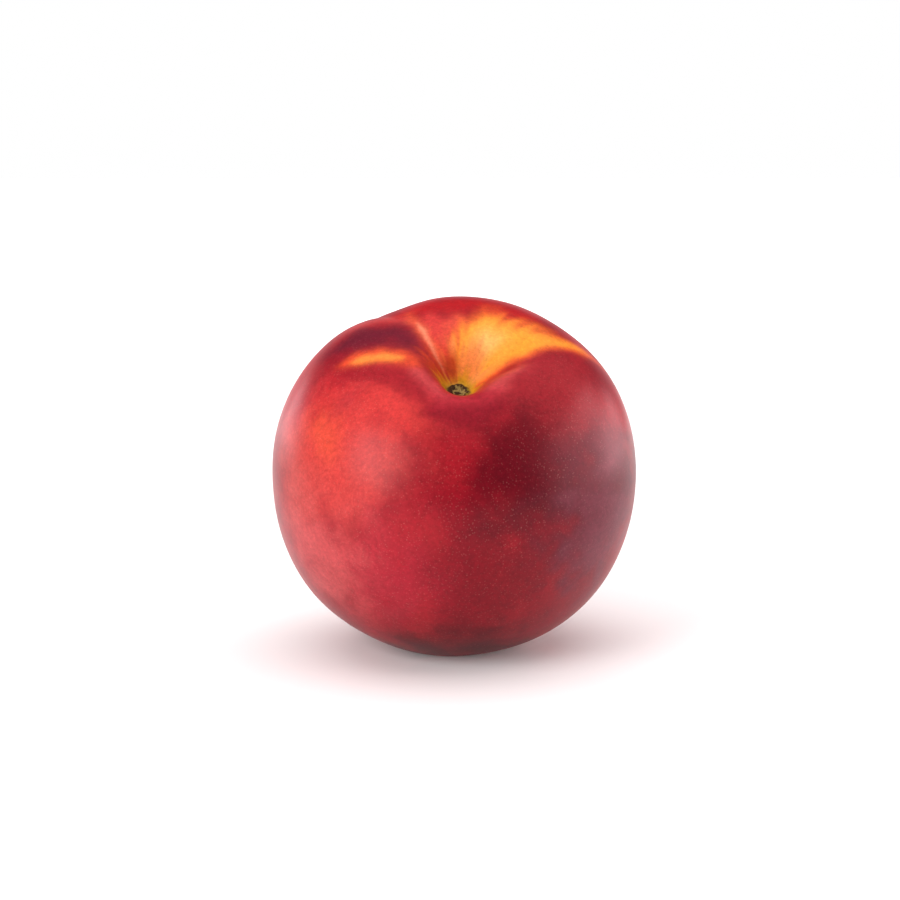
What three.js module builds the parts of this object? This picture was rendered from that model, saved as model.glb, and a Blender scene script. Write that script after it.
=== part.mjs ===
import * as THREE from "three";

// A whole nectarine resting on its lower cheek, with the stem end leaning to the front.
// Millimetres, +Z up, front toward -Y, origin on the resting plane below the middle of the fruit.

// Driving dimensions
const halfWidth = 35;
const halfDepth = 34;
const crownRise = 31.2;
const baseDrop = 33;
const squareness = 2.28;
const backTilt = 0.06;
const leanDegrees = 29;
const restingCut = 1;

// Stem cavity: a flat round scar at the bottom of a funnel that is steep in front and wide behind.
const scar = { x: 0.8, y: -4.2, height: 24.5, radius: 2.2 };
const funnel = { mean: 4.2, wider: 2.05, right: 0.95, oval: 0.75, power: 1.3, sharper: 0.15 };
const valley = { depth: 1.5, half: 6.5, at: 4, start: 2, rise: 1.5, fade: 15 };
const hollow = { depth: 2.4, at: 115, from: 9, long: 7, wide: 3.6 };

// Suture: a narrow crease inside the cavity that becomes a broad shallow furrow down the back.
const crease = { at: -147, depth: 1.6, half: 1.6, from: 3.2, reach: 11, shallow: 0.15 };
const furrow = { at: -153, depth: 1.5, half: 8, from: 12 };

// Blossom end: a blunt tip in a broad faint dimple.
const blossom = { tip: 1.1, tipRadius: 2.6, dimple: 1.3, dimpleRadius: 11 };

const rings = 56;
const segments = 64;
const ringCrowding = 1.3;

const radians = THREE.MathUtils.degToRad;

// Rises smoothly from 0 to 1 around zero.
function ramp(distance, softness) {
  return 1 / (1 + Math.exp(-distance / softness));
}

// A bell of height 1.
function bell(distance, half) {
  return Math.exp(-((distance / half) ** 2));
}

// Splits a plan position into its distance along a bearing and its distance across it.
// Bearings are in degrees from the front, positive toward +X.
function alongBearing(x, y, degrees) {
  const bearing = radians(degrees);
  return {
    along: x * Math.sin(bearing) - y * Math.cos(bearing),
    across: x * Math.cos(bearing) + y * Math.sin(bearing),
  };
}

// The plain body: a rounded solid a little squarer than an ellipsoid.
function bodyPoint(fromStem, around) {
  const direction = new THREE.Vector3(
    Math.sin(fromStem) * Math.sin(around),
    -Math.sin(fromStem) * Math.cos(around),
    Math.cos(fromStem),
  );
  const rise = direction.z > 0 ? crownRise : baseDrop;
  const level = Math.hypot(direction.x / halfWidth, direction.y / halfDepth);
  const upright = Math.abs(direction.z) / rise;
  const length = (level ** squareness + upright ** squareness) ** (-1 / squareness);
  return direction.multiplyScalar(length);
}

// Sinks the stem cavity into the crown.
function sinkCavity(point) {
  const x = point.x - scar.x;
  const y = point.y - scar.y;
  const reach = Math.hypot(x, y);
  const bearing = Math.atan2(x, -y);

  const front = alongBearing(x, y, valley.at);
  const opened = ramp(front.along - valley.start, valley.rise);
  const faded = bell(Math.max(front.along, 0), valley.fade);
  point.z -= valley.depth * bell(front.across, valley.half) * opened * faded;

  const width = funnel.mean - funnel.wider * Math.cos(bearing)
    + funnel.right * Math.sin(bearing) + funnel.oval * Math.cos(2 * bearing);
  const power = funnel.power + funnel.sharper * Math.cos(bearing);
  const fall = Math.exp(-((Math.max(reach - scar.radius, 0) / width) ** power));
  point.z -= (point.z - scar.height) * fall;

  const side = alongBearing(x, y, hollow.at);
  point.z -= hollow.depth * bell(side.along - hollow.from, hollow.long) * bell(side.across, hollow.wide);
}

// Depth of the suture at a point of the skin.
function sutureDepth(point) {
  const line = alongBearing(point.x - scar.x, point.y - scar.y, crease.at);
  const started = ramp(line.along - crease.from, 0.8);
  const inside = Math.exp(-((Math.max(line.along, 0) / crease.reach) ** 4));
  const top = THREE.MathUtils.clamp((point.z + 30) / 60, 0, 1);
  const narrow = crease.depth * (inside + (1 - inside) * crease.shallow * (0.3 + 0.7 * top));
  const groove = Math.exp(-(Math.abs(line.across / crease.half) ** 1.5)) * started;
  const back = alongBearing(point.x - scar.x, point.y - scar.y, furrow.at);
  const broad = furrow.depth * bell(back.across, furrow.half) * ramp(back.along - furrow.from, 2);
  return narrow * groove + broad * (0.1 + 0.9 * top ** 2);
}

// A point of the skin with the stem axis upright and the equator at z = 0.
function skinPoint(fromStem, around) {
  const point = bodyPoint(fromStem, around);
  const up = THREE.MathUtils.clamp(point.z / crownRise, 0, 1);
  point.z += backTilt * point.y * up;
  if (fromStem < Math.PI / 2) {
    sinkCavity(point);
  } else {
    const offAxis = Math.hypot(point.x, point.y);
    point.z += blossom.dimple * bell(offAxis, blossom.dimpleRadius);
    point.z -= blossom.tip * bell(offAxis, blossom.tipRadius);
  }
  return point.multiplyScalar(1 - sutureDepth(point) / point.length());
}

// A closed grid of rings from the stem end to the blossom end, closer together at the stem end.
function fruitGeometry() {
  const positions = [...skinPoint(0, 0).toArray()];
  for (let ring = 1; ring < rings; ring += 1) {
    const fromStem = Math.PI * (ring / rings) ** ringCrowding;
    for (let segment = 0; segment < segments; segment += 1) {
      positions.push(...skinPoint(fromStem, (segment / segments) * 2 * Math.PI).toArray());
    }
  }
  positions.push(...skinPoint(Math.PI, 0).toArray());

  const last = positions.length / 3 - 1;
  const at = (ring, segment) => 1 + (ring - 1) * segments + (segment % segments);
  const faces = [];
  for (let segment = 0; segment < segments; segment += 1) {
    faces.push(0, at(1, segment), at(1, segment + 1));
    for (let ring = 1; ring < rings - 1; ring += 1) {
      faces.push(at(ring, segment), at(ring + 1, segment), at(ring + 1, segment + 1));
      faces.push(at(ring, segment), at(ring + 1, segment + 1), at(ring, segment + 1));
    }
    faces.push(at(rings - 1, segment), last, at(rings - 1, segment + 1));
  }

  const geometry = new THREE.BufferGeometry();
  geometry.setAttribute("position", new THREE.Float32BufferAttribute(positions, 3));
  geometry.setIndex(faces);
  return geometry;
}

// Leans the fruit, presses its underside flat where it rests, and puts the origin below its middle.
function rest(geometry) {
  geometry.rotateX(radians(leanDegrees));
  geometry.computeBoundingBox();
  const box = geometry.boundingBox;
  const middle = box.getCenter(new THREE.Vector3());
  geometry.translate(-middle.x, -middle.y, -box.min.z - restingCut);
  const position = geometry.getAttribute("position");
  for (let index = 0; index < position.count; index += 1) {
    position.setZ(index, Math.max(position.getZ(index), 0));
  }
  geometry.computeVertexNormals();
  return geometry;
}

const skin = new THREE.MeshStandardMaterial({ color: 0xa01c2c, roughness: 0.4, metalness: 0 });

const nectarine = new THREE.Mesh(rest(fruitGeometry()), skin);
nectarine.name = "nectarine";

const part = new THREE.Group();
part.add(nectarine);

export default part;
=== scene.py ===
import math
import bpy
import bmesh
import numpy as np
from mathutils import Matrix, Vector, noise
from mathutils.bvhtree import BVHTree


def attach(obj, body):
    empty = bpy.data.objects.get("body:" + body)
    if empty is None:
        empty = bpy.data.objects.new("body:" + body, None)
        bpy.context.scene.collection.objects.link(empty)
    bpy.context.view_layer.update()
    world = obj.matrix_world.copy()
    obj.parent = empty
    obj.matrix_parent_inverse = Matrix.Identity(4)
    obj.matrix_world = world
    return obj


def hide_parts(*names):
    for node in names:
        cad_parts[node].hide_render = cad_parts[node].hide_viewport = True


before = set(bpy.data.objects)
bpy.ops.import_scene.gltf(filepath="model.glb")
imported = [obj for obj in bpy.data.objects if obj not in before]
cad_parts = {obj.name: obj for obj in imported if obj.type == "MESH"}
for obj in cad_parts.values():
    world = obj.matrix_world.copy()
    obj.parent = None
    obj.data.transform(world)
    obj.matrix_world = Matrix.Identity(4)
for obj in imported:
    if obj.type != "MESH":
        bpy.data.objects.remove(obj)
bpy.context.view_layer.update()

millimetre = 0.001


# Small helpers

def linearColour(hexColour):
    def channel(value):
        value = value / 255
        return value / 12.92 if value <= 0.04045 else ((value + 0.055) / 1.055) ** 2.4
    digits = hexColour.lstrip("#")
    return [channel(int(digits[i:i + 2], 16)) for i in (0, 2, 4)] + [1.0]


def addNode(tree, kind, settings=None, links=None):
    node = tree.nodes.new(kind)
    for name, value in (settings or {}).items():
        if hasattr(node, name):
            setattr(node, name, value)
        else:
            node.inputs[name].default_value = value
    for name, source in (links or {}).items():
        tree.links.new(source, node.inputs[name])
    return node


def ramp(distance, softness):
    return 1 / (1 + np.exp(-np.clip(distance / softness, -40, 40)))


def bell(distance, half):
    return np.exp(-(distance / half) ** 2)


# Bearings are in degrees from the front, positive toward +X.
def alongBearing(x, y, degrees):
    bearing = math.radians(degrees)
    along = x * math.sin(bearing) - y * math.cos(bearing)
    across = x * math.cos(bearing) + y * math.sin(bearing)
    return along, across


# The fruit's form, in millimetres, with the stem axis upright and the equator at z = 0

fruit = {
    "halfWidth": 35.0,
    "halfDepth": 34.0,
    "crownRise": 31.2,
    "baseDrop": 33.0,
    "squareness": 2.28,
    "backTilt": 0.06,
    "leanDegrees": 29.0,
    "restingCut": 1.0,
    "scar": {"x": 0.8, "y": -4.2, "height": 24.5, "radius": 2.2},
    "funnel": {"mean": 4.2, "wider": 2.05, "right": 0.95, "oval": 0.75, "power": 1.3, "sharper": 0.15},
    "valley": {"depth": 1.5, "half": 6.5, "at": 4, "start": 2, "rise": 1.5, "fade": 15},
    "hollow": {"depth": 2.4, "at": 115, "from": 9, "long": 7, "wide": 3.6},
    "crease": {"at": -147, "depth": 1.6, "half": 1.6, "from": 3.2, "reach": 11, "shallow": 0.15},
    "furrow": {"at": -153, "depth": 1.5, "half": 8, "from": 12},
    "blossom": {"tip": 1.1, "tipRadius": 2.6, "dimple": 1.3, "dimpleRadius": 11},
    "segments": 330,
    "rings": 240,
    "ringCrowding": 1.3,
    "swellHeight": 0.22,      # slow unevenness of the skin
    "swellLength": 15.0,
    "corkRing": 0.35,         # raised rim of the scar
    "corkPit": 0.55,
    "corkRough": 0.3,
}


def bodyPoints(fromStem, around):
    direction = np.stack([
        np.sin(fromStem) * np.sin(around),
        -np.sin(fromStem) * np.cos(around),
        np.cos(fromStem),
    ], -1)
    rise = np.where(direction[:, 2] > 0, fruit["crownRise"], fruit["baseDrop"])
    level = np.hypot(direction[:, 0] / fruit["halfWidth"], direction[:, 1] / fruit["halfDepth"])
    upright = np.abs(direction[:, 2]) / rise
    power = fruit["squareness"]
    return direction * ((level ** power + upright ** power) ** (-1 / power))[:, None]


def sinkCavity(x, y, z):
    scar, funnel, valley, hollow = (fruit[name] for name in ("scar", "funnel", "valley", "hollow"))
    reach = np.hypot(x, y)
    bearing = np.arctan2(x, -y)
    along, across = alongBearing(x, y, valley["at"])
    opened = ramp(along - valley["start"], valley["rise"])
    faded = bell(np.maximum(along, 0), valley["fade"])
    z = z - valley["depth"] * bell(across, valley["half"]) * opened * faded
    width = (funnel["mean"] - funnel["wider"] * np.cos(bearing)
             + funnel["right"] * np.sin(bearing) + funnel["oval"] * np.cos(2 * bearing))
    power = funnel["power"] + funnel["sharper"] * np.cos(bearing)
    fall = np.exp(-(np.maximum(reach - scar["radius"], 0) / width) ** power)
    z = z - (z - scar["height"]) * fall
    along, across = alongBearing(x, y, hollow["at"])
    return z - hollow["depth"] * bell(along - hollow["from"], hollow["long"]) * bell(across, hollow["wide"])


def sutureDepth(x, y, z):
    crease, furrow = fruit["crease"], fruit["furrow"]
    along, across = alongBearing(x, y, crease["at"])
    inside = np.exp(-(np.maximum(along, 0) / crease["reach"]) ** 4)
    top = np.clip((z + 30) / 60, 0, 1)
    narrow = crease["depth"] * (inside + (1 - inside) * crease["shallow"] * (0.3 + 0.7 * top))
    groove = np.exp(-np.abs(across / crease["half"]) ** 1.5) * ramp(along - crease["from"], 0.8)
    along, across = alongBearing(x, y, furrow["at"])
    broad = furrow["depth"] * bell(across, furrow["half"]) * ramp(along - furrow["from"], 2)
    return narrow * groove + broad * (0.1 + 0.9 * top ** 2)


def skinPoints(fromStem, around):
    points = bodyPoints(fromStem, around)
    x, y, z = points.T
    z = z + fruit["backTilt"] * y * np.clip(z / fruit["crownRise"], 0, 1)
    scar, blossom = fruit["scar"], fruit["blossom"]
    offAxis = np.hypot(x, y)
    under = blossom["dimple"] * bell(offAxis, blossom["dimpleRadius"])
    under = under - blossom["tip"] * bell(offAxis, blossom["tipRadius"])
    z = np.where(fromStem < math.pi / 2, sinkCavity(x - scar["x"], y - scar["y"], z), z + under)
    points = np.stack([x, y, z], -1)
    depth = sutureDepth(x - scar["x"], y - scar["y"], z)
    return points * (1 - depth / np.linalg.norm(points, axis=1))[:, None]


def noiseAt(points, length, seed):
    offset = Vector((seed * 7.1, seed * 3.7, seed * 5.3))
    return np.array([noise.noise(Vector(p) / length + offset) for p in points])


# A slow noise with a finer one of half its strength.
def twoNoises(points, lengths, seed):
    return noiseAt(points, lengths[0], seed) + 0.5 * noiseAt(points, lengths[1], seed + 1)


# Slow swells over the skin and the corky rim of the scar.
def addRelief(points):
    outward = points / np.linalg.norm(points, axis=1)[:, None]
    points = points + outward * (fruit["swellHeight"] * noiseAt(points, fruit["swellLength"], 1))[:, None]
    scar = fruit["scar"]
    reach = np.hypot(points[:, 0] - scar["x"], points[:, 1] - scar["y"])
    near = (reach < 3.5) & (points[:, 2] > 0)
    rough = noiseAt(points[near], 0.7, 2)
    close = reach[near]
    lift = fruit["corkRing"] * bell(close - 1.9, 0.45) * (1 + 0.8 * rough)
    lift = lift - fruit["corkPit"] * bell(close, 1.0) + fruit["corkRough"] * rough * bell(close, 1.7)
    points[near, 2] += lift
    return points


def makeFruit():
    mesh = bmesh.new()
    bmesh.ops.create_uvsphere(mesh, u_segments=fruit["segments"], v_segments=fruit["rings"], radius=1)
    start = np.array([v.co[:] for v in mesh.verts])
    fromStem = math.pi * (np.arccos(np.clip(start[:, 2], -1, 1)) / math.pi) ** fruit["ringCrowding"]
    around = np.arctan2(start[:, 0], -start[:, 1])
    upright = addRelief(skinPoints(fromStem, around))

    lean = math.radians(fruit["leanDegrees"])
    x, y, z = upright.T
    leaned = np.stack([
        x,
        y * math.cos(lean) - z * math.sin(lean),
        y * math.sin(lean) + z * math.cos(lean),
    ], -1)
    low, high = leaned.min(0), leaned.max(0)
    origin = np.array([(low[0] + high[0]) / 2, (low[1] + high[1]) / 2, low[2] + fruit["restingCut"]])
    placed = leaned - origin
    placed[:, 2] = np.maximum(placed[:, 2], 0)
    for vertex, point in zip(mesh.verts, placed):
        vertex.co = Vector(point) * millimetre
    for face in mesh.faces:
        face.smooth = True
    data = bpy.data.meshes.new("nectarineSkin")
    mesh.to_mesh(data)
    mesh.free()
    piece = bpy.data.objects.new("nectarineSkin", data)
    bpy.context.scene.collection.objects.link(piece)
    return piece, upright, -origin * millimetre


skinPiece, uprightPoints, fruitCentre = makeFruit()
print("fruit made:", len(skinPiece.data.polygons), "faces")


# Camera at the photograph's viewing angle

view = {
    "elevation": 11.5,
    "distance": 0.470,
    "pixelsPerMillimetre": 5.18,
    "centrePixel": (454.0, 474.2),
    "imageSize": 900,
}


def makeCamera():
    data = bpy.data.cameras.new("camera")
    camera = bpy.data.objects.new("camera", data)
    bpy.context.scene.collection.objects.link(camera)
    focal = view["pixelsPerMillimetre"] * view["distance"] / millimetre
    data.sensor_width = 36
    data.lens = 36 * focal / view["imageSize"]
    data.clip_start = 0.01
    elevation = math.radians(view["elevation"])
    back = Vector((0, -math.cos(elevation), math.sin(elevation)))
    right = Vector((1, 0, 0))
    up = Vector((0, math.sin(elevation), math.cos(elevation)))
    scale = millimetre / view["pixelsPerMillimetre"]
    across, down = (pixel - view["imageSize"] / 2 for pixel in view["centrePixel"])
    aim = Vector(fruitCentre) - right * (across * scale) + up * (down * scale)
    camera.location = aim + back * view["distance"]
    camera.rotation_euler = (math.radians(90 - view["elevation"]), 0, 0)
    bpy.context.scene.camera = camera
    return camera.location.copy(), -back, right, up, focal


cameraPlace, viewAhead, viewRight, viewUp, focalPixels = makeCamera()


# Where a pixel of the photograph falls on the skin
skinTree = BVHTree.FromPolygons(
    [v.co.copy() for v in skinPiece.data.vertices],
    [list(p.vertices) for p in skinPiece.data.polygons])


def skinAt(pixel):
    half = view["imageSize"] / 2
    ray = viewAhead * focalPixels + viewRight * (pixel[0] - half) - viewUp * (pixel[1] - half)
    hit = skinTree.ray_cast(cameraPlace, ray.normalized())[0]
    return np.array(hit if hit else (0, 0, 0)) / millimetre


# Colour of the skin: a ground, slow clouds, then strokes of blush and ground colour, with some painted
# highlights and painted shade, laid on in order.
# A stroke runs through pixels of the front view and narrows to its ends. Its half width and the
# softness of its edge are in millimetres.
skinColours = {
    "deepRed": "#84091a",
    "warmRed": "#b8222a",
    "strokes": [
        ("leftCheekOrange", [(312, 425), (330, 470), (345, 520)], 12, 9, "#c83e38", 0.85),
        ("leftCheekEdge", [(290, 430), (292, 470), (302, 520)], 5, 6, "#b04038", 0.6),
        ("leftShoulderWarm", [(340, 392), (380, 400), (425, 420)], 7, 7, "#cc3430", 0.8),
        ("cheekSpotOrange", [(312, 418), (326, 436), (330, 450)], 3.0, 3, "#d04830", 0.7),
        ("cheekPatchDark", [(343, 396), (352, 404)], 3.5, 3.5, "#a02a30", 0.6),
        ("lowerLeftRed", [(345, 555), (385, 580), (425, 590)], 11, 9, "#a81c30", 0.7),
        ("lowerLeftWarm", [(304, 525), (322, 562), (352, 598)], 8, 9, "#c85050", 0.7),
        ("lowerMiddleDark", [(462, 562), (540, 590)], 12, 13, "#720012", 0.75),
        # painted shade: the underside darkened where it turns towards the floor
        ("undersidePaintedShade", [(388, 646), (450, 649), (518, 645)], 6.5, 7, "#44000a", 0.88),
        ("rightMiddleDark", [(492, 438), (540, 465), (565, 510)], 14, 9, "#560412", 0.92),
        ("rightEdgeDark", [(595, 425), (612, 480), (595, 560)], 13, 9, "#500418", 0.95),
        # painted reflection: a mauve sheen of the right light laid over the dark red
        ("lowerRightPaintedReflection", [(608, 485), (605, 530), (590, 570)], 9, 9, "#7a3240", 0.85),
        ("rightShoulderRed", [(520, 385), (560, 385), (595, 410)], 7, 6, "#a02028", 0.75),
        # painted shade: a dark arc below the cavity's lip, where the skin faces away from the lights
        ("frontArcPaintedShade", [(428, 408), (459, 415), (500, 407)], 2.4, 2.0, "#80041a", 0.92),
        # painted highlights: pink haze on the slopes and along the rim round the cavity, where the top
        # light reflects
        ("leftSlopePaintedHighlight", [(411, 368), (424, 382), (440, 394)], 1.7, 1.6, "#c84a4a", 0.7),
        ("rightSlopePaintedHighlight", [(488, 390), (505, 378), (522, 367)], 1.8, 1.6, "#c04444", 0.7),
        ("rimPaintedHighlight", [(417, 380), (440, 399), (478, 401), (500, 388)], 1.4, 1.6, "#b02030", 0.6),
        ("crownRed", [(395, 318), (430, 305), (475, 303), (530, 318)], 3.5, 3, "#ae0c14", 0.9),
        ("shoulderBand", [(345, 330), (385, 320), (412, 322)], 2.2, 2.5, "#c83c3a", 0.7),
        ("rosySlope", [(428, 314), (438, 328), (444, 345), (447, 356)], 2.8, 1.6, "#c8322e", 0.9),
        ("rosySlopeRight", [(456, 316), (457, 332), (456, 350)], 2.2, 1.6, "#cc4230", 0.9),
        # dark purple blush on the shoulder, with a painted reflection haze in its mauve tint
        ("shoulderPurpleAndReflection", [(333, 352), (362, 336), (395, 334), (417, 347)], 4.0, 2.6, "#5e1024", 0.92),
        ("crescentOrange", [(338, 366), (352, 361), (375, 355), (395, 356), (412, 361), (420, 366)],
         1.8, 1.2, "#d0401e", 0.9),
        ("crescentYellow", [(352, 363), (368, 359), (384, 357), (400, 358)], 0.9, 0.9, "#ea8630", 0.95),
        ("underCrescent", [(340, 375), (370, 373), (398, 376), (414, 388), (426, 402)],
         2.2, 1.4, "#8a061a", 0.8),
        ("creaseWarm", [(408, 314), (420, 328), (430, 344), (440, 362), (447, 378)],
         1.1, 1.2, "#d8502c", 0.7),
        ("creaseStreak", [(417, 323), (424, 332), (430, 344), (436, 358), (443, 370)],
         0.35, 0.5, "#f0906a", 0.7),
    ],
    # the yellow ground on the cavity's right wall, between two bearings and out to a reach from the scar
    "wall": {"front": 117.5, "back": 185, "reach": 18.3, "shorter": 6, "shortFrom": 172,
             "further": 14.4, "turn": 123},
    "ground": {"fringe": "#dc4a1e", "yellow": "#ec9226", "pale": "#f0b060", "inner": "#e0703c"},
    # painted highlight: a pale patch on the yellow wall where the top light reflects
    "paleHighlightPatch": {"reach": 10, "long": 3.4, "at": 147, "half": 16},
    "innerLimit": {"least": 6.0, "more": 3.2, "at": 162, "half": 18},
    # rays and spots round the scar: bearing, half width in degrees and reach
    "backRays": {"at": 194, "half": 15, "reach": 8},
    "leftRays": {"at": 236, "half": 24, "reach": 8.2},
    "wedge": {"at": 195, "half": 13, "reach": 4.9, "long": 1.9},
    "amberReach": 3.9,
    "oliveRing": {"reach": 2.7, "half": 0.7},
    "nearScar": {"olive": "#b4860e", "amber": "#cc8414", "wedge": "#a8300c", "ember": "#b83410"},
    "rayWidth": 9,              # rays per turn, roughly, and how far each runs
    "rayRun": 0.16,
    "cloudStretch": 0.5,        # clouds are longer from the stem to the tip
    "cloudLengths": (11, 4.5),
    "wobbleLengths": (5, 2.2),
}


def strokeMask(points, pixels, half, edge, wobble):
    line = [skinAt((x0 + (x1 - x0) * t / 4, y0 + (y1 - y0) * t / 4))
            for (x0, y0), (x1, y1) in zip(pixels, pixels[1:]) for t in range(4)]
    line.append(skinAt(pixels[-1]))
    nearest = np.full(len(points), 1e9)
    place = np.zeros(len(points))
    for index, (first, last) in enumerate(zip(line, line[1:])):
        span = last - first
        share = np.clip(((points - first) @ span) / max(span @ span, 1e-6), 0, 1)
        distance = np.linalg.norm(points - first - share[:, None] * span, axis=1)
        closer = distance < nearest
        nearest[closer] = distance[closer]
        place[closer] = (index + share[closer]) / (len(line) - 1)
    narrowed = half * (1 - 0.85 * (2 * place - 1) ** 4)
    return ramp(narrowed - nearest + wobble * edge * 0.8, edge * 0.4)


def paintSkin():
    points = np.array([v.co[:] for v in skinPiece.data.vertices]) / millimetre
    drawn = uprightPoints * (1, 1, skinColours["cloudStretch"])
    cloud = twoNoises(drawn, skinColours["cloudLengths"], 3)
    wobble = twoNoises(points, skinColours["wobbleLengths"], 5)
    colour = np.tile(linearColour(skinColours["deepRed"])[:3], (len(points), 1))

    def lay(hexColour, mask):
        nonlocal colour
        target = np.array(linearColour(hexColour)[:3])
        colour = colour * (1 - mask[:, None]) + target * mask[:, None]

    lay(skinColours["warmRed"], 0.5 * ramp(cloud - 0.1, 0.2))
    for _, pixels, half, edge, hexColour, strength in skinColours["strokes"]:
        lay(hexColour, strength * strokeMask(points, pixels, half, edge, wobble))

    # distance and bearing from the scar, and a noise that runs out in rays
    scar = fruit["scar"]
    x = uprightPoints[:, 0] - scar["x"]
    y = uprightPoints[:, 1] - scar["y"]
    above = (uprightPoints[:, 2] > 0).astype(float)
    reach, bearing = np.hypot(x, y), np.arctan2(x, -y)
    degrees = np.degrees(bearing) % 360
    width, run = skinColours["rayWidth"], skinColours["rayRun"]
    streak = noiseAt(np.stack([np.cos(bearing) * width, np.sin(bearing) * width, reach * run], -1), 1.0, 7)

    # yellow ground on the right wall of the cavity, with an orange fringe
    wall, ground, nearScar = (skinColours[name] for name in ("wall", "ground", "nearScar"))
    limit = (wall["reach"] - wall["shorter"] * ramp(degrees - wall["shortFrom"], 4)
             + wall["further"] * ramp(wall["turn"] - degrees, 5))
    fromEdge = alongBearing(x, y, wall["front"])[1] + 0.5 * wobble
    side = above * ramp(wall["back"] - degrees + 9 * streak, 3.5)
    fringe = side * ramp(fromEdge + 1.1, 0.35) * ramp(limit + 0.6 - reach + 3.6 * streak, 1.1)
    lay(ground["fringe"], fringe * 0.85)
    side = side * ramp(fromEdge - 0.1, 0.35)
    yellow = side * ramp(limit - 1.9 - reach + 3.8 * streak + 0.8 * wobble, 1.2)
    lay(ground["yellow"], yellow)
    # painted highlight: a pale patch on the yellow wall where the top light reflects
    patch = skinColours["paleHighlightPatch"]
    pale = bell(reach - patch["reach"], patch["long"]) * bell(degrees - patch["at"], patch["half"])
    lay(ground["pale"], yellow * pale * (0.8 + 0.4 * streak))
    inner = skinColours["innerLimit"]
    deeper = inner["least"] + inner["more"] * bell(degrees - inner["at"], inner["half"]) + 3 * streak
    lay(ground["inner"], side * ramp(deeper - reach, 1.0) * ramp(reach - 3.0, 0.4) * 0.85)

    # rays behind and to the left, then amber, a red wedge and olive close to the scar
    def raysFrom(rays):
        spread = bell(degrees - rays["at"], rays["half"])
        return above * spread * ramp(rays["reach"] + 5 * streak - reach, 1.0)

    lay(ground["inner"], raysFrom(skinColours["backRays"]) * ramp(streak + 0.05, 0.12) * 0.9)
    lay(nearScar["ember"], raysFrom(skinColours["leftRays"]) * 0.8)
    amber = ramp(skinColours["amberReach"] - reach + streak * 2, 0.4) * ramp(np.abs(bearing) - 1.3, 0.2)
    lay(nearScar["amber"], above * amber * 0.8)
    spot = skinColours["wedge"]
    wedge = above * bell(reach - spot["reach"], spot["long"]) * bell(degrees - spot["at"], spot["half"])
    lay(nearScar["wedge"], np.clip(wedge * 1.4, 0, 1) * (0.8 + 0.6 * streak))
    ring = skinColours["oliveRing"]
    olive = above * bell(reach - ring["reach"], ring["half"])
    lay(nearScar["olive"], olive * 0.6 * ramp(bearing + 2.4, 0.3))
    return colour, reach, above


def storeColour(name, colour):
    attribute = skinPiece.data.attributes.new(name, "FLOAT_COLOR", "POINT")
    flat = np.concatenate([colour, np.ones((len(colour), 1))], 1).astype(np.float32)
    attribute.data.foreach_set("color", flat.ravel())


def storeShare(name, share):
    attribute = skinPiece.data.attributes.new(name, "FLOAT", "POINT")
    attribute.data.foreach_set("value", share.astype(np.float32))


skinColour, scarReach, isAbove = paintSkin()
storeColour("skinColour", skinColour)
storeShare("corkShare", isAbove * ramp(2.3 - scarReach, 0.12))
storeShare("scarReach", np.where(isAbove > 0, scarReach, 40))
print("skin painted")


# Waxy fruit skin, grown and unpolished: a satin sheen over mottled colour, with fine pale pores that
# give it its grain close up. Lengths are in millimetres. Real pores are finer than a pixel, so
# they are drawn as coarse as they need to show.
skinLook = {
    "roughness": (0.28, 0.42),
    "unevenLength": 9,          # of the sheen
    "ior": 1.38,
    "specular": 0.22,
    "coat": 0.05,
    "coatRoughness": 0.25,
    "mottleLength": 0.8,
    "mottleRoughness": 0.75,
    "mottleRange": (0.76, 1.24),
    "poreSpacing": 0.45,
    "poreSize": 0.12,
    "poreColour": "#e89c90",
    "poreStrength": 0.16,
    "clusterLength": 5.0,       # pores show in clusters of this size
    "clusterLeast": 0.45,
    "poresFrom": 10.0,          # distance from the scar where pores begin
    "poresFull": 20.0,
    # cork of the stem scar: a dark pit, a tan ring, a dark groove and an olive rim
    "corkRings": [(0.0, "#3c220e"), (0.22, "#3c220e"), (0.42, "#9a8048"),
                  (0.56, "#3c220e"), (0.72, "#3c220e"), (0.9, "#7e6e22")],
    "corkReach": (1.1, 3.9),
    "corkFibre": 0.8,
    "corkRagged": 2.6,
    "corkRoughness": 0.85,
    "grainLength": 0.5,
    "bumpStrength": 0.12,
    "bumpHeight": 0.05,
}


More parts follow.
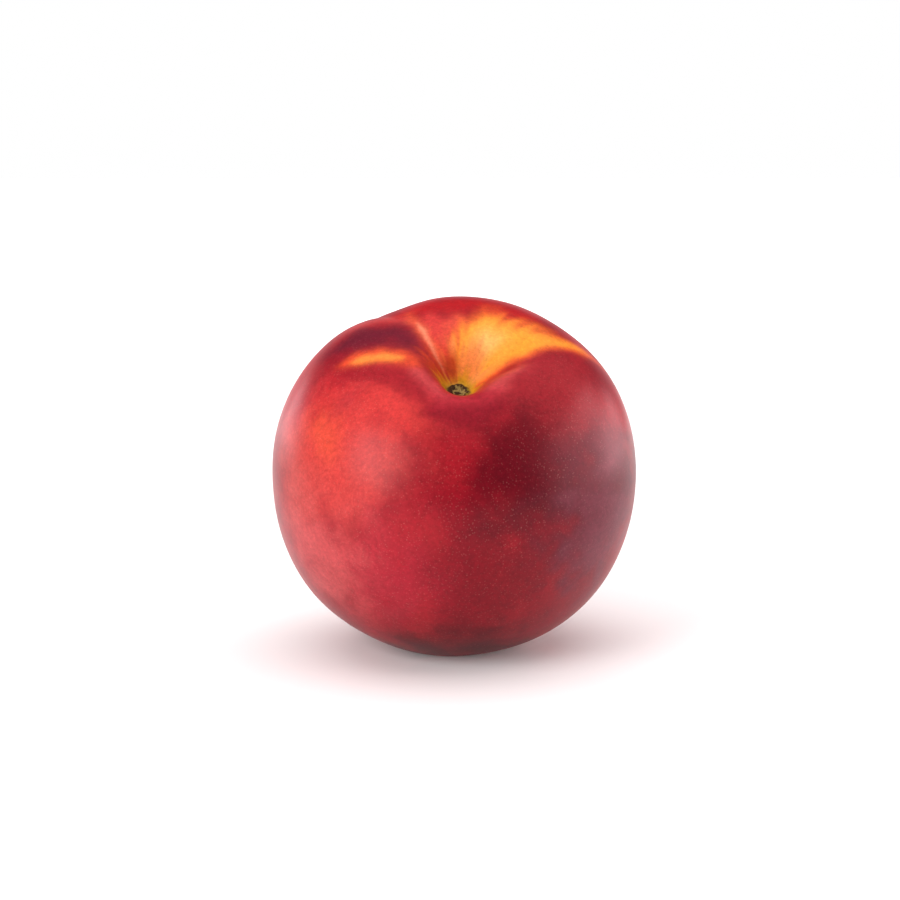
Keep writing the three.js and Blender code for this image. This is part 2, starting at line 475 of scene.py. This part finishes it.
def makeSkinMaterial():
    material = bpy.data.materials.new("waxyNectarineSkin")
    material.use_nodes = True
    tree = material.node_tree
    tree.nodes.clear()
    place = addNode(tree, "ShaderNodeTexCoord").outputs["Object"]
    base = addNode(tree, "ShaderNodeAttribute", {"attribute_name": "skinColour"}).outputs["Color"]
    cork = addNode(tree, "ShaderNodeAttribute", {"attribute_name": "corkShare"}).outputs["Fac"]
    fromScar = addNode(tree, "ShaderNodeAttribute", {"attribute_name": "scarReach"}).outputs["Fac"]

    # mottling: fine light and dark flecks in the blush
    mottle = addNode(tree, "ShaderNodeTexNoise", {
        "Scale": 1 / (skinLook["mottleLength"] * millimetre), "Detail": 5.0,
        "Roughness": skinLook["mottleRoughness"]}, {"Vector": place})
    darkest, lightest = skinLook["mottleRange"]
    mottleRange = addNode(tree, "ShaderNodeMapRange", {
        "From Min": 0.3, "From Max": 0.7, "To Min": darkest, "To Max": lightest,
    }, {"Value": mottle.outputs["Fac"]})
    mottled = addNode(tree, "ShaderNodeVectorMath", {"operation": "SCALE"}, {
        "Vector": base, "Scale": mottleRange.outputs[0]})

    # pores: small pale dots, each of its own strength, in loose clusters and not in the cavity
    cells = addNode(tree, "ShaderNodeTexVoronoi", {
        "Scale": 1 / (skinLook["poreSpacing"] * millimetre)}, {"Vector": place})
    poreEdge = skinLook["poreSize"] / skinLook["poreSpacing"]
    dots = addNode(tree, "ShaderNodeMapRange", {
        "interpolation_type": "SMOOTHSTEP", "From Min": poreEdge * 0.4, "From Max": poreEdge * 1.5,
        "To Min": skinLook["poreStrength"], "To Max": 0.0}, {"Value": cells.outputs["Distance"]})
    cluster = addNode(tree, "ShaderNodeTexNoise", {
        "Scale": 1 / (skinLook["clusterLength"] * millimetre), "Detail": 3.0}, {"Vector": place})
    clusterRange = addNode(tree, "ShaderNodeMapRange", {
        "From Min": 0.35, "From Max": 0.7, "To Min": skinLook["clusterLeast"], "To Max": 1.0,
    }, {"Value": cluster.outputs["Fac"]})
    chance = addNode(tree, "ShaderNodeMapRange", {
        "From Min": 0.2, "From Max": 0.9}, {"Value": cells.outputs["Color"]})
    outside = addNode(tree, "ShaderNodeMapRange", {
        "From Min": skinLook["poresFrom"], "From Max": skinLook["poresFull"]}, {"Value": fromScar})
    poreShare = dots.outputs[0]
    for factor in (clusterRange, chance, outside):
        product = addNode(tree, "ShaderNodeMath", {"operation": "MULTIPLY"}, {
            0: poreShare, 1: factor.outputs[0]})
        poreShare = product.outputs[0]
    withPores = addNode(tree, "ShaderNodeMix", {"data_type": "RGBA"}, {"Factor": poreShare})
    tree.links.new(mottled.outputs[0], withPores.inputs[6])
    withPores.inputs[7].default_value = linearColour(skinLook["poreColour"])

    # cork rings by the distance from the scar, a little ragged
    fibres = addNode(tree, "ShaderNodeTexNoise", {
        "Scale": 1 / (skinLook["corkFibre"] * millimetre), "Detail": 4.0}, {"Vector": place})
    ragged = addNode(tree, "ShaderNodeMath", {"operation": "MULTIPLY_ADD"}, {
        0: fibres.outputs["Fac"], 2: fromScar})
    ragged.inputs[1].default_value = skinLook["corkRagged"]
    pit, edge = skinLook["corkReach"]
    corkPlace = addNode(tree, "ShaderNodeMapRange", {
        "From Min": pit, "From Max": edge}, {"Value": ragged.outputs[0]})
    corkRamp = addNode(tree, "ShaderNodeValToRGB", {}, {"Fac": corkPlace.outputs[0]})
    for _ in skinLook["corkRings"][2:]:
        corkRamp.color_ramp.elements.new(0.5)
    for element, (position, hexColour) in zip(corkRamp.color_ramp.elements, skinLook["corkRings"]):
        element.position = position
        element.color = linearColour(hexColour)
    colour = addNode(tree, "ShaderNodeMix", {"data_type": "RGBA"}, {"Factor": cork})
    tree.links.new(withPores.outputs[2], colour.inputs[6])
    tree.links.new(corkRamp.outputs["Color"], colour.inputs[7])

    # roughness: satin skin, a little uneven, and dull cork
    uneven = addNode(tree, "ShaderNodeTexNoise", {
        "Scale": 1 / (skinLook["unevenLength"] * millimetre), "Detail": 3.0}, {"Vector": place})
    glossy, dull = skinLook["roughness"]
    sheenRange = addNode(tree, "ShaderNodeMapRange", {
        "To Min": glossy, "To Max": dull}, {"Value": uneven.outputs["Fac"]})
    rough = addNode(tree, "ShaderNodeMix", {"data_type": "FLOAT"}, {"Factor": cork})
    tree.links.new(sheenRange.outputs[0], rough.inputs[2])
    rough.inputs[3].default_value = skinLook["corkRoughness"]

    # bump: pores stand a hair proud over a fine grain
    grain = addNode(tree, "ShaderNodeTexNoise", {
        "Scale": 1 / (skinLook["grainLength"] * millimetre), "Detail": 2.0}, {"Vector": place})
    height = addNode(tree, "ShaderNodeMath", {"operation": "MULTIPLY_ADD"}, {
        0: dots.outputs[0], 2: grain.outputs["Fac"]})
    height.inputs[1].default_value = 0.8
    bump = addNode(tree, "ShaderNodeBump", {
        "Strength": skinLook["bumpStrength"], "Distance": skinLook["bumpHeight"] * millimetre,
    }, {"Height": height.outputs[0]})

    shader = addNode(tree, "ShaderNodeBsdfPrincipled", {
        "Metallic": 0.0, "IOR": skinLook["ior"], "Specular IOR Level": skinLook["specular"],
        "Coat Weight": skinLook["coat"], "Coat Roughness": skinLook["coatRoughness"],
    }, {"Base Color": colour.outputs[2], "Roughness": rough.outputs[0], "Normal": bump.outputs[0]})
    addNode(tree, "ShaderNodeOutputMaterial", {}, {"Surface": shader.outputs[0]})
    return material


skinPiece.data.materials.append(makeSkinMaterial())
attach(skinPiece, "root")
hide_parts("nectarine")
print("skin material made")


# Floor, background and studio light

studio = {
    "floorSize": 2.0,
    "floorColour": "#f2ecec",
    "floorRoughness": 0.6,
    "floorGlow": (0.08, 0.6),        # near the fruit and far from it
    "glowFrom": 0.15,                # metres from the fruit between which the glow grows
    "glowTo": 0.5,
    "fill": 0.25,                    # light from all around
    "reflectedFill": 0.06,
    "reflectedTint": "#ffd0d4",      # a rosy tint of what the skin reflects
    "lights": [
        # name, bearing from the front, elevation, distance, width, height, watts,
        # and whether it lights the surface, shows in its reflections, or both
        ("topSoftbox", 180, 80, 1.2, 2.0, 2.0, 24.0, "light"),
        ("rightFill", 100, 12, 0.9, 1.2, 1.0, 6.0, "light"),
        ("topGlow", 180, 80, 1.3, 2.4, 2.4, 2.5, "reflection"),
        ("rightPanel", 89, 2, 0.9, 1.04, 1.2, 22.0, "reflection"),
        ("rightStrip", 124, 2, 1.0, 0.5, 0.5, 4.0, "reflection"),
        ("leftSoftbox", -46, 26, 1.1, 0.55, 0.7, 8.8, "both"),
        ("leftBackPanel", -130, 2, 1.0, 0.6, 0.5, 5.0, "reflection"),
        ("backStrip", 180, 6, 1.2, 1.4, 0.4, 1.6, "reflection"),
    ],
}


# Matt white studio floor that glows a little, so that it runs out into pure white.
def makeFloor():
    data = bpy.data.meshes.new("floor")
    mesh = bmesh.new()
    bmesh.ops.create_grid(mesh, x_segments=1, y_segments=1, size=studio["floorSize"] / 2)
    mesh.to_mesh(data)
    mesh.free()
    floor = bpy.data.objects.new("floor", data)
    bpy.context.scene.collection.objects.link(floor)
    material = bpy.data.materials.new("whiteFloor")
    material.use_nodes = True
    tree = material.node_tree
    tree.nodes.clear()
    place = addNode(tree, "ShaderNodeTexCoord").outputs["Object"]
    reach = addNode(tree, "ShaderNodeVectorMath", {"operation": "LENGTH"}, {0: place}).outputs["Value"]
    near, far = studio["floorGlow"]
    glow = addNode(tree, "ShaderNodeMapRange", {
        "interpolation_type": "SMOOTHSTEP", "From Min": studio["glowFrom"], "From Max": studio["glowTo"],
        "To Min": near, "To Max": far}, {"Value": reach})
    shader = addNode(tree, "ShaderNodeBsdfPrincipled", {
        "Base Color": linearColour(studio["floorColour"]), "Roughness": studio["floorRoughness"],
        "Specular IOR Level": 0.2, "Emission Color": (1, 1, 1, 1),
    }, {"Emission Strength": glow.outputs[0]})
    addNode(tree, "ShaderNodeOutputMaterial", {}, {"Surface": shader.outputs[0]})
    data.materials.append(material)


def makeLights():
    for name, bearing, elevation, distance, width, height, watts, use in studio["lights"]:
        data = bpy.data.lights.new(name, "AREA")
        data.shape = "RECTANGLE"
        data.size, data.size_y = width, height
        data.energy = watts
        if use == "reflection":
            data.color = linearColour(studio["reflectedTint"])[:3]
        lamp = bpy.data.objects.new(name, data)
        bpy.context.scene.collection.objects.link(lamp)
        turn, rise = math.radians(bearing), math.radians(elevation)
        away = Vector((math.sin(turn) * math.cos(rise), -math.cos(turn) * math.cos(rise), math.sin(rise)))
        lamp.location = Vector(fruitCentre) + away * distance
        lamp.rotation_euler = away.to_track_quat("Z", "Y").to_euler()
        lamp.visible_diffuse = use != "reflection"
        lamp.visible_glossy = use != "light"
        lamp.visible_camera = False


# White beyond the floor, soft fill from all around and a dim surround in the reflections.
def makeWorld():
    world = bpy.data.worlds.new("studioWorld")
    bpy.context.scene.world = world
    world.use_nodes = True
    tree = world.node_tree
    tree.nodes.clear()
    path = addNode(tree, "ShaderNodeLightPath")
    fill, reflected, white = (
        addNode(tree, "ShaderNodeBackground", {"Color": (1, 1, 1, 1), "Strength": strength}).outputs[0]
        for strength in (studio["fill"], studio["reflectedFill"], 1.0))
    inReflection = addNode(tree, "ShaderNodeMixShader", {}, {
        "Fac": path.outputs["Is Glossy Ray"], 1: fill, 2: reflected})
    seen = addNode(tree, "ShaderNodeMixShader", {}, {
        "Fac": path.outputs["Is Camera Ray"], 1: inReflection.outputs[0], 2: white})
    addNode(tree, "ShaderNodeOutputWorld", {}, {"Surface": seen.outputs[0]})


makeFloor()
makeLights()
makeWorld()
bpy.context.scene.view_settings.view_transform = "Standard"
print("studio made")
